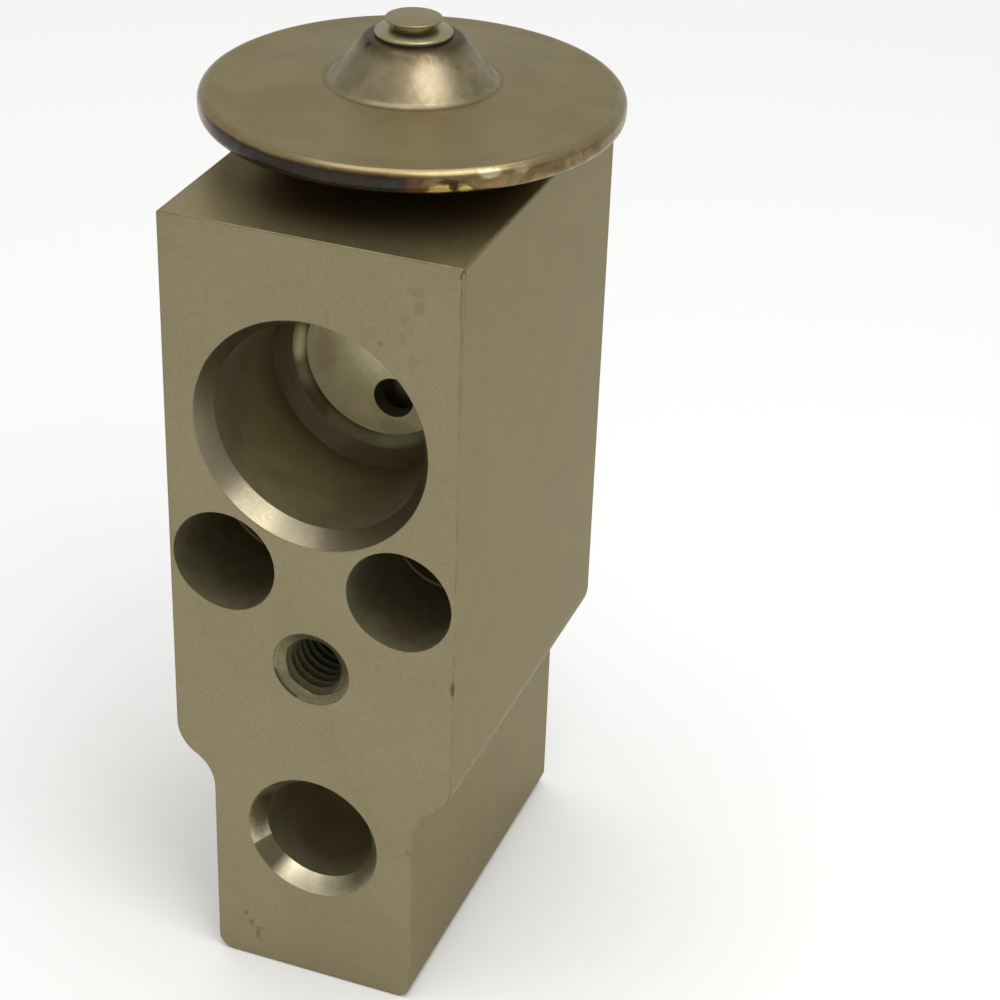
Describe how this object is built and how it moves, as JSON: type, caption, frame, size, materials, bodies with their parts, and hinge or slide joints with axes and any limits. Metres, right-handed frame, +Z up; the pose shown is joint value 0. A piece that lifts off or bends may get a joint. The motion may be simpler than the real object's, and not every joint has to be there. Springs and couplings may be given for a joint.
{
  "type": "expansion valve",
  "caption": "Block-type thermostatic expansion valve: drilled aluminium block with suction and liquid ports, a welded stainless power head and a spring-loaded ball inside.",
  "frame": {"origin": "centre of the adjuster bore's mouth, where the valve axis meets the bottom face", "axes": "+Z up along the valve axis to the power head, -Y out of the front face with the screw recesses, +X to the right seen from the front"},
  "size_m": [0.0368, 0.0401, 0.0876],
  "materials": {
    "block_aluminium": "satin extruded and milled aluminium with a warm grey-beige tone",
    "head_steel": "pressed stainless sheet, satin",
    "weld_metal": "smooth weld bead with heat tint",
    "plug_steel": "satin stainless steel",
    "weld_ring": "bright weld ring",
    "foil_steel": "thin bright stainless sheet",
    "turned_steel": "turned stainless steel",
    "seal_rubber": "matt rubber",
    "rod_aluminium": "drawn aluminium",
    "ball_steel": "polished steel",
    "carrier_brass": "turned brass",
    "spring_steel": "drawn spring wire",
    "plug_aluminium": "turned aluminium"
  },
  "bodies": {
    "valve_body": {"valve_block": "block_aluminium", "lower_cover": "head_steel", "upper_cover": "head_steel", "rim_weld": "weld_metal", "charging_plug": "plug_steel", "plug_weld": "weld_ring", "diaphragm": "foil_steel", "head_seal": "seal_rubber", "rod_seal": "seal_rubber", "seal_retainer": "turned_steel"},
    "valve_train": {"diaphragm_pad": "turned_steel", "sensing_rod": "rod_aluminium", "operating_pin": "turned_steel", "valve_ball": "ball_steel", "ball_carrier": "carrier_brass", "damping_spring": "foil_steel"},
    "spring_seat": {"plug_seal": "seal_rubber", "bias_spring": "spring_steel"},
    "adjuster": {"adjusting_plug": "plug_aluminium"}
  },
  "joints": [
    {"name": "valve_stroke", "type": "slide", "parent": "valve_body", "child": "valve_train", "axis": [0, 0, -1], "range_m": [0, 0.0008], "stiffness_N_per_m": 8000, "springref_m": -0.001, "deforming": ["bias_spring"]},
    {"name": "adjuster_lift", "type": "slide", "parent": "valve_body", "child": "spring_seat", "axis": [0, 0, 1], "range_m": [-0.001, 0.001], "deforming": ["bias_spring"]},
    {"name": "adjuster_turn", "type": "hinge", "parent": "spring_seat", "child": "adjuster", "pos_m": [0, 0, 0.0012], "axis": [0, 0, 1], "range_deg": [-360, 360]}
  ],
  "couplings": [
    {"joint": "adjuster_turn", "follows": "adjuster_lift", "rad_per_m": 6283.2}
  ]
}
